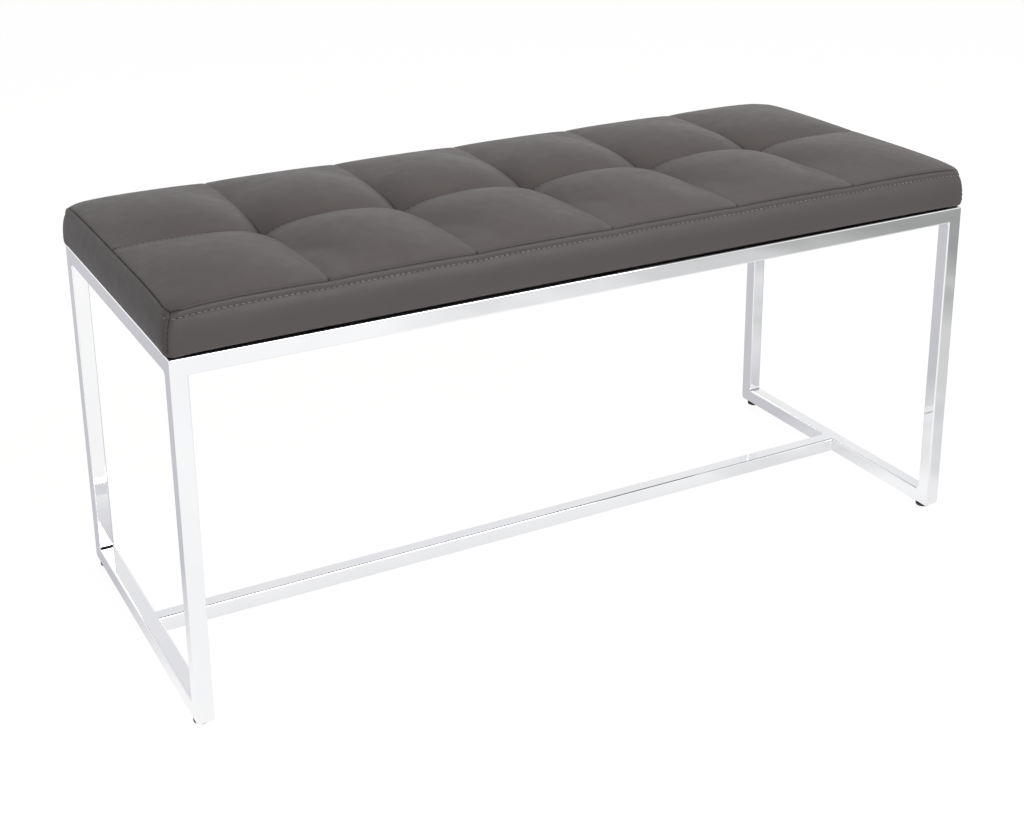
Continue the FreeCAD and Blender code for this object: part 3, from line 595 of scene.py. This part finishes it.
ridge_x = spread(-HALF_LENGTH + RIDGE_MARGIN, HALF_LENGTH - RIDGE_MARGIN, STITCH_PITCH)


def band_runs(side):
    """Rays at a long band's topstitch, and at the few stitches that turn each of its corners."""
    along = [((x, side * FAR, z), (0, -side, 0)) for x, z in zip(row_x, row_z)]
    turns = [[((end * FAR, side * y, z), (-end, 0, 0)) for y, z in zip(end_y, end_z)] for end in BOTH_WAYS]
    return [along] + turns


def corner_run(end, side):
    """Rays at the upright seam of one corner."""
    x, y = end * (HALF_LENGTH + BESIDE), side * (HALF_DEPTH + BESIDE)
    return [((x, y, z), (-end, -side, 0)) for z in corner_z]


uprights = [corner_run(end, side) for end in BOTH_WAYS for side in BOTH_WAYS]
ridge_run = [((x, -RIDGE_OFFSET, FAR), (0, 0, -1)) for x in ridge_x]
print("stitches in a band's row:", len(row_x), "and in a corner:", len(corner_z))

# %% Sew the rows
CORNER_LIFT = 0.1 * MM
CORNER_STITCH_SIZE, RIDGE_STITCH_SIZE = (0.6, 0.8, 0.6), (1, 0.8, 0.8)
rows = [sew("topstitch_front", band_runs(-1)),
        sew("topstitch_rear", band_runs(1)),
        sew("corner_stitches", uprights, lift=CORNER_LIFT, size=CORNER_STITCH_SIZE),
        sew("ridge_stitches", [ridge_run], size=RIDGE_STITCH_SIZE)]
bpy.data.objects.remove(stitch)

# %% [markdown]
# ## Finishes
# Every finish starts from Blender's Principled shader and gets its detail from procedural textures
# on Object coordinates, which are metres here, so a scale of 800 means grains of about a millimetre.
# Image textures could show more, but procedural ones fit any shape and never run out of sharpness.
# Small helpers add a texture, a colour range, a changing roughness, a relief and painted shade.

# %% Finish helpers
NOISE_LOW, NOISE_HIGH = 0.25, 0.75
# Numbers of the Mix node's colour sockets, which share their names with its other sockets
MIX_FACTOR, MIX_FIRST_COLOUR, MIX_SECOND_COLOUR, MIXED_COLOUR = 0, 6, 7, 2


def shader_of(material):
    """The principled shader of a material."""
    return material.node_tree.nodes["Principled BSDF"]


def finish(name, colour, roughness, metallic=0.0, specular=0.5):
    """A new material with a plain principled shader."""
    material = bpy.data.materials.new(name)
    material.use_nodes = True
    sockets = shader_of(material).inputs
    sockets["Base Color"].default_value = (*colour, 1)
    sockets["Roughness"].default_value = roughness
    sockets["Metallic"].default_value = metallic
    sockets["Specular IOR Level"].default_value = specular
    return material


def texture(material, kind, scale, stretch=(1, 1, 1), **settings):
    """A texture node on Object coordinates; returns the output that carries its value."""
    tree = material.node_tree
    where = tree.nodes.new("ShaderNodeTexCoord")
    fit = tree.nodes.new("ShaderNodeMapping")
    fit.inputs["Scale"].default_value = stretch
    node = tree.nodes.new("ShaderNodeTex" + kind)
    for setting, value in settings.items():
        node.inputs[setting].default_value = value
    node.inputs["Scale"].default_value = scale
    tree.links.new(where.outputs["Object"], fit.inputs["Vector"])
    tree.links.new(fit.outputs["Vector"], node.inputs["Vector"])
    return node.outputs["Distance" if kind == "Voronoi" else "Fac"]


def between(tree, value, given, wanted):
    """Map a value from one pair of limits to another; returns the output."""
    limits = tree.nodes.new("ShaderNodeMapRange")
    limits.inputs["From Min"].default_value, limits.inputs["From Max"].default_value = given
    limits.inputs["To Min"].default_value, limits.inputs["To Max"].default_value = wanted
    tree.links.new(value, limits.inputs["Value"])
    return limits.outputs["Result"]


def tint(material, value, dark, light, low=0.3, high=0.7):
    """Let a texture run the base colour from dark to light."""
    tree = material.node_tree
    ramp = tree.nodes.new("ShaderNodeValToRGB")
    for stop, position, colour in zip(ramp.color_ramp.elements, (low, high), (dark, light)):
        stop.position = position
        stop.color = (*colour, 1)
    tree.links.new(value, ramp.inputs["Fac"])
    tree.links.new(ramp.outputs["Color"], shader_of(material).inputs["Base Color"])


def vary_gloss(material, value, low, high):
    """Let a texture run the roughness between two limits."""
    tree = material.node_tree
    changing = between(tree, value, (NOISE_LOW, NOISE_HIGH), (low, high))
    tree.links.new(changing, shader_of(material).inputs["Roughness"])


def relief(material, value, height):
    """Raise a texture as a bump of a given height, on top of any bump already there."""
    tree = material.node_tree
    normal = shader_of(material).inputs["Normal"]
    bump = tree.nodes.new("ShaderNodeBump")
    bump.inputs["Distance"].default_value = height
    tree.links.new(value, bump.inputs["Height"])
    if normal.is_linked:
        tree.links.new(normal.links[0].from_socket, bump.inputs["Normal"])
    tree.links.new(bump.outputs["Normal"], normal)


def darken(material, attribute, colour):
    """Paint shade: fade the base colour to a dark one where a mesh's attribute is high."""
    tree = material.node_tree
    base = shader_of(material).inputs["Base Color"]
    read = tree.nodes.new("ShaderNodeAttribute")
    read.attribute_name = attribute
    mix = tree.nodes.new("ShaderNodeMix")
    mix.data_type = "RGBA"
    tree.links.new(base.links[0].from_socket, mix.inputs[MIX_FIRST_COLOUR])
    mix.inputs[MIX_SECOND_COLOUR].default_value = (*colour, 1)
    tree.links.new(read.outputs["Fac"], mix.inputs[MIX_FACTOR])
    tree.links.new(mix.outputs[MIXED_COLOUR], base)


# %% [markdown]
# The cover is a smooth, dark warm grey leather-look with low sheen. Its colour drifts a little over
# a hand's width, pores about a millimetre apart catch the light, fine creases change the gloss, and
# the seams get painted shade from the attribute that they carry.

# %% Leather
leather_finish = finish("leather", (0.098, 0.087, 0.085), roughness=0.48, specular=0.34)
leather_drift = texture(leather_finish, "Noise", 9, Detail=3)
tint(leather_finish, leather_drift, (0.095, 0.0825, 0.0805), (0.103, 0.0905, 0.0885))
vary_gloss(leather_finish, texture(leather_finish, "Noise", 60, Detail=2), 0.44, 0.52)
# painted shade in the seam valleys, read from the mesh's attribute
darken(leather_finish, "painted_seam_shade", (0.012, 0.01, 0.01))
relief(leather_finish, texture(leather_finish, "Voronoi", 850), 0.04 * MM)
relief(leather_finish, texture(leather_finish, "Noise", 320, Detail=3), 0.03 * MM)
cover.data.materials.append(leather_finish)
print("leather on", cover.name)

# %% [markdown]
# The topstitch is a lighter grey, twisted thread, so fine bands of a Wave texture stand for the twist,
# and its tips get painted shade for the shadow in the needle's holes. The corners are closed with nearly
# black thread.

# %% Threads
thread_finish = finish("thread", (0.27, 0.26, 0.255), roughness=0.6)
tint(thread_finish, texture(thread_finish, "Noise", 90), (0.21, 0.2, 0.196), (0.33, 0.32, 0.314))
relief(thread_finish, texture(thread_finish, "Wave", 900, Distortion=1.0), 0.08 * MM)
# painted shade at the stitch tips, for the shadow in the needle's holes
darken(thread_finish, "needle_hole_shade", (0.02, 0.018, 0.018))

corner_thread = finish("corner_thread", (0.03, 0.027, 0.026), roughness=0.65)
tint(corner_thread, texture(corner_thread, "Noise", 90), (0.022, 0.02, 0.019), (0.036, 0.033, 0.032))
relief(corner_thread, texture(corner_thread, "Wave", 900, Distortion=1.0), 0.08 * MM)

for row in rows:
    row.data.materials.clear()
    row.data.materials.append(corner_thread if row.name == "corner_stitches" else thread_finish)
print("thread on", len(rows), "rows")

# %% [markdown]
# Bright chrome plate is a mirror, but not a perfect one: polished tube is very slightly wavy, so
# reflections bend along it, and the gloss clouds over in places. Both come from broad, weak noise.
# The hidden fixings are zinc plated, with the mottled flakes of that plating. The staples are given
# dark wire, painted shade that keeps them as dark as the shadowed gap under the pad.

# %% Metals
chrome = finish("chrome", (0.95, 0.955, 0.965), roughness=0.05, metallic=1.0)
tint(chrome, texture(chrome, "Noise", 7, Detail=2), (0.925, 0.93, 0.945), (0.975, 0.977, 0.98))
vary_gloss(chrome, texture(chrome, "Noise", 35, Detail=3), 0.02, 0.07)
relief(chrome, texture(chrome, "Noise", 14, Detail=1), 0.22 * MM)

zinc = finish("zinc", (0.6, 0.61, 0.62), roughness=0.4, metallic=1.0)
tint(zinc, texture(zinc, "Voronoi", 420), (0.48, 0.49, 0.51), (0.7, 0.71, 0.71), low=0.1, high=0.6)
vary_gloss(zinc, texture(zinc, "Noise", 300, Detail=3), 0.28, 0.5)
relief(zinc, texture(zinc, "Noise", 900), 0.03 * MM)

# painted shade: the staples are darkened to stay dark in the shadowed gap under the pad
staple_wire = finish("staple_wire", (0.05, 0.05, 0.052), roughness=0.5, metallic=1.0)
tint(staple_wire, texture(staple_wire, "Noise", 300), (0.035, 0.035, 0.037), (0.07, 0.07, 0.072))
relief(staple_wire, texture(staple_wire, "Noise", 1500), 0.03 * MM)
print("metals:", chrome.name, zinc.name, staple_wire.name)

# %% [markdown]
# The glides are moulded black plastic with a fine spark-eroded texture, the spacers are matt black
# rubber, and the toggles under the ties are plain dark plastic.

# %% Plastics and rubber
plastic = finish("glide_plastic", (0.018, 0.018, 0.019), roughness=0.5)
tint(plastic, texture(plastic, "Noise", 160, Detail=2), (0.014, 0.014, 0.015), (0.024, 0.024, 0.025))
vary_gloss(plastic, texture(plastic, "Noise", 500), 0.42, 0.58)
relief(plastic, texture(plastic, "Noise", 2200), 0.04 * MM)

rubber = finish("spacer_rubber", (0.022, 0.022, 0.022), roughness=0.85)
tint(rubber, texture(rubber, "Noise", 240, Detail=3), (0.016, 0.016, 0.016), (0.03, 0.03, 0.029))
relief(rubber, texture(rubber, "Noise", 1400, Detail=2), 0.06 * MM)

toggle_plastic = finish("toggle_plastic", (0.1, 0.1, 0.1), roughness=0.55)
tint(toggle_plastic, texture(toggle_plastic, "Noise", 200), (0.08, 0.08, 0.08), (0.12, 0.12, 0.12))
relief(toggle_plastic, texture(toggle_plastic, "Noise", 1600), 0.04 * MM)
print("plastics:", plastic.name, rubber.name, toggle_plastic.name)

# %% [markdown]
# Plywood shows long grain on its faces and thin plies along its edge, so its noise is stretched along
# the board and squeezed through its thickness. The dust cover is a black non-woven cloth, a felt of
# fibres pressed with tiny dots, and it hardly shines even when seen at a low angle. The ties are
# twisted cord.

# %% Wood, cloth and cord
plywood = finish("plywood", (0.5, 0.36, 0.22), roughness=0.75)
plywood_grain = texture(plywood, "Noise", 60, (0.08, 1, 12), Detail=6)
tint(plywood, plywood_grain, (0.38, 0.25, 0.14), (0.58, 0.43, 0.27))
vary_gloss(plywood, texture(plywood, "Noise", 120, (0.1, 1, 1)), 0.65, 0.85)
relief(plywood, texture(plywood, "Noise", 300, (0.06, 1, 1), Detail=3), 0.15 * MM)

dust_cloth = finish("dust_cloth", (0.014, 0.014, 0.014), roughness=0.92, specular=0.08)
cloth_fibres = texture(dust_cloth, "Noise", 420, (1, 0.4, 1), Detail=5)
tint(dust_cloth, cloth_fibres, (0.009, 0.009, 0.009), (0.022, 0.022, 0.022))
relief(dust_cloth, texture(dust_cloth, "Voronoi", 520), 0.12 * MM)
relief(dust_cloth, texture(dust_cloth, "Noise", 900, (1, 0.3, 1), Detail=4), 0.08 * MM)

tie_cord = finish("tie_cord", (0.2, 0.19, 0.18), roughness=0.8)
tint(tie_cord, texture(tie_cord, "Noise", 700), (0.14, 0.13, 0.125), (0.26, 0.25, 0.24))
relief(tie_cord, texture(tie_cord, "Wave", 380, Distortion=2.0), 0.2 * MM)
print("under the seat:", plywood.name, dust_cloth.name, tie_cord.name)

# %% [markdown]
# The record names a slot for each CAD node, so one table of slots dresses them all. The old cover and
# the foam are hidden inside the new cover and take its leather.

# %% Give every CAD node its finish
finishes = {"chrome_frame": chrome, "zinc_steel": zinc, "glide_plastic": plastic,
            "spacer_rubber": rubber, "plywood": plywood, "dust_cloth": dust_cloth,
            "tie_cord": tie_cord, "toggle_plastic": toggle_plastic,
            "cover_leather": leather_finish, "foam": leather_finish}
subparts = frame["record"]["subparts"]
for part in subparts:
    skin = frame["nodes"][part["node"]].data
    skin.materials.clear()
    # the staples take the dark wire, painted shade for the gap under the pad
    skin.materials.append(staple_wire if "staples" in part["node"] else finishes[part["material_slot"]])
print("finishes on", len(subparts), "CAD nodes")

# %% [markdown]
# ## Floor, world and light
# The bench is shown on plain white paper, with hardly a shadow. The paper lies at the level that the
# glides reach when they are screwed right out, a few millimetres under the rest level, so that they
# never sink into it. A curved backdrop would do as well, but a large plane looks the same here.

# %% Floor
FLOOR_SIZE = 20
joints = frame["record"]["behaviour"]["joints"]
glide_travel = max(joint["range_m"][1] for joint in joints if "range_m" in joint)
bpy.ops.object.select_all(action="DESELECT")
bpy.ops.mesh.primitive_plane_add(size=FLOOR_SIZE, location=(0, 0, -glide_travel))
floor = bpy.context.object
floor.name = "floor"
print("floor %d m wide, %.0f mm under the rest level" % (FLOOR_SIZE, glide_travel / MM))

# %% [markdown]
# Over-lighting the paper would burn the chrome out, so the paper itself is shown white to the camera
# and keeps a weak share of its shadow. Chrome needs something to mirror: to reflections the paper
# glows with a painted reflection that runs from white in front to lavender behind, and along a slanting
# line from white to grey at the right, with the border between the tones broken up by blotches, as
# reflections in real tube are.

# %% Shader helpers


def blend_of(tree, factor, first, second):
    """A shader that mixes two others, by a number or by another node's output."""
    mix = tree.nodes.new("ShaderNodeMixShader")
    if isinstance(factor, float):
        mix.inputs["Fac"].default_value = factor
    else:
        tree.links.new(factor, mix.inputs["Fac"])
    tree.links.new(first, mix.inputs[1])
    tree.links.new(second, mix.inputs[2])
    return mix.outputs["Shader"]


def toned(tree, value, low, high, tones):
    """A colour that follows a list of tones along a value; returns the output."""
    ramp = tree.nodes.new("ShaderNodeValToRGB")
    stops = ramp.color_ramp.elements
    for number, (spot, colour) in enumerate(tones):
        position = (spot - low) / (high - low)
        stop = stops[number] if number < len(stops) else stops.new(position)
        stop.position = position
        stop.color = (*colour, 1)
    tree.links.new(between(tree, value, (low, high), (0, 1)), ramp.inputs["Fac"])
    return ramp.outputs["Color"]


# %% Places on the paper
TONE_SLANT = -0.3
BLOTCH_SCALE, BLOTCH_SHIFT = 4.0, 0.2
BLOTCH_LOW, BLOTCH_HIGH = 0.3, 0.7
paper = bpy.data.materials.new("paper")
paper.use_nodes = True
tree = paper.node_tree
tree.nodes.clear()
where = tree.nodes.new("ShaderNodeTexCoord")
split = tree.nodes.new("ShaderNodeSeparateXYZ")
slant = tree.nodes.new("ShaderNodeMath")
slant.operation = "MULTIPLY_ADD"
slant.inputs[1].default_value = TONE_SLANT
blotch = tree.nodes.new("ShaderNodeTexNoise")
blotch.inputs["Scale"].default_value = BLOTCH_SCALE
shift = between(tree, blotch.outputs["Fac"], (BLOTCH_LOW, BLOTCH_HIGH), (-BLOTCH_SHIFT, BLOTCH_SHIFT))
blotched = tree.nodes.new("ShaderNodeMath")
blotched.operation = "ADD"
tree.links.new(where.outputs["Object"], split.inputs["Vector"])
tree.links.new(where.outputs["Object"], blotch.inputs["Vector"])
tree.links.new(split.outputs["Y"], slant.inputs[0])
tree.links.new(split.outputs["X"], slant.inputs[2])
tree.links.new(slant.outputs["Value"], blotched.inputs[0])
tree.links.new(shift, blotched.inputs[1])
print("blotches shift the tones by up to %.1f m" % BLOTCH_SHIFT)

# %% Painted reflection tones that the chrome mirrors
TONE_LOW, TONE_HIGH = -2.0, 2.0
TONES_ALONG = [(-2.0, (1, 1, 1)), (0.4, (1, 1, 1)), (0.67, (0.86, 0.86, 0.865)),
               (0.95, (0.66, 0.665, 0.665)), (1.1, (0.64, 0.645, 0.645)), (1.5, (0.4, 0.41, 0.405)),
               (1.7, (0.3, 0.315, 0.305)), (2.0, (0.34, 0.35, 0.345))]
TONES_DEEP = [(-2.0, (1, 1, 1)), (-0.1, (1, 1, 1)), (0.15, (0.58, 0.58, 0.62)),
              (2.0, (0.62, 0.62, 0.66))]
tone_along = toned(tree, blotched.outputs["Value"], TONE_LOW, TONE_HIGH, TONES_ALONG)
tone_deep = toned(tree, split.outputs["Y"], TONE_LOW, TONE_HIGH, TONES_DEEP)
both = tree.nodes.new("ShaderNodeVectorMath")
both.operation = "MULTIPLY"
# the painted reflection glows from the paper, seen only by glossy rays
mirrored = tree.nodes.new("ShaderNodeEmission")
tree.links.new(tone_along, both.inputs[0])
tree.links.new(tone_deep, both.inputs[1])
tree.links.new(both.outputs["Vector"], mirrored.inputs["Color"])
print("tones:", len(TONES_ALONG), "along and", len(TONES_DEEP), "deep")

# %% Paper as the camera and the chrome see it
PAPER_COLOUR = (0.9, 0.9, 0.9)
PAPER_SHOWN = 1.08
SHADOW_SHARE, MIRROR_SHADOW_SHARE = 0.12, 0.08
matt = tree.nodes.new("ShaderNodeBsdfDiffuse")
matt.inputs["Color"].default_value = (*PAPER_COLOUR, 1)
shown = tree.nodes.new("ShaderNodeEmission")
shown.inputs["Strength"].default_value = PAPER_SHOWN
path = tree.nodes.new("ShaderNodeLightPath")
seen = blend_of(tree, SHADOW_SHARE, shown.outputs["Emission"], matt.outputs["BSDF"])
in_metal = blend_of(tree, MIRROR_SHADOW_SHARE, mirrored.outputs["Emission"], matt.outputs["BSDF"])
by_glossy = blend_of(tree, path.outputs["Is Glossy Ray"], matt.outputs["BSDF"], in_metal)
by_camera = blend_of(tree, path.outputs["Is Camera Ray"], by_glossy, seen)
result = tree.nodes.new("ShaderNodeOutputMaterial")
tree.links.new(by_camera, result.inputs["Surface"])
floor.data.materials.append(paper)
print("paper shown at", PAPER_SHOWN)

# %% [markdown]
# The world is a weak, slightly warm light from all round. The camera sees it white, and reflections
# see it darken towards the ceiling, which draws the edges of the tubes. A picture of a studio could
# do this, but a ramp over the height of the direction is enough for straight tubes.

# %% World
AMBIENT, AMBIENT_TINT = 0.34, (1, 0.975, 0.93)
SKY_TONES = [(0.0, (1, 1, 1)), (0.25, (1, 1, 1)), (0.5, (0.8, 0.8, 0.82)), (0.7, (0.66, 0.66, 0.68)),
             (0.85, (0.2, 0.2, 0.2)), (1.0, (0.12, 0.12, 0.12))]
world = bpy.data.worlds.new("studio")
bpy.context.scene.world = world
world.use_nodes = True
sky = world.node_tree
ambient = sky.nodes["Background"]
ambient.inputs["Color"].default_value = (*AMBIENT_TINT, 1)
ambient.inputs["Strength"].default_value = AMBIENT
backdrop = sky.nodes.new("ShaderNodeBackground")
backdrop.inputs["Color"].default_value = (1, 1, 1, 1)
ceiling = sky.nodes.new("ShaderNodeBackground")
direction = sky.nodes.new("ShaderNodeTexCoord")
height = sky.nodes.new("ShaderNodeSeparateXYZ")
ray = sky.nodes.new("ShaderNodeLightPath")
sky.links.new(direction.outputs["Generated"], height.inputs["Vector"])
sky_tone = toned(sky, height.outputs["Z"], low=0, high=1, tones=SKY_TONES)
sky.links.new(sky_tone, ceiling.inputs["Color"])
lit = blend_of(sky, ray.outputs["Is Glossy Ray"], ambient.outputs["Background"],
               ceiling.outputs["Background"])
around = blend_of(sky, ray.outputs["Is Camera Ray"], lit, backdrop.outputs["Background"])
sky.links.new(around, sky.nodes["World Output"].inputs["Surface"])
print("world", AMBIENT)

# %% [markdown]
# Two soft boxes light the bench. The key stands in front and gives the front band and the domes their
# soft gradient, and a weaker, warmer one above the rear draws a sheen over the top. Area lamps are
# used because point lamps would give hard highlights on leather.

# %% Lamps
LAMP_AIM = (0, 0, 0.4)


def lamp(name, place, width, depth, energy, colour):
    """A soft box: a rectangular area lamp turned to the seat."""
    light = bpy.data.lights.new(name, "AREA")
    light.color = colour
    light.shape = "RECTANGLE"
    light.size, light.size_y = width, depth
    light.energy = energy
    box = bpy.data.objects.new(name, light)
    box.location = place
    box.rotation_euler = (Vector(LAMP_AIM) - Vector(place)).to_track_quat("-Z", "Y").to_euler()
    bpy.context.scene.collection.objects.link(box)
    print("lamp", name, energy, "W")


lamp("key", place=(0.5, -2.4, 2.1), width=2.2, depth=1.6, energy=50, colour=(0.985, 1, 1.05))
lamp("top", place=(0.8, 0.9, 2.5), width=2.0, depth=1.4, energy=9, colour=(1, 0.95, 0.86))
bpy.context.scene.view_settings.view_transform = "Standard"
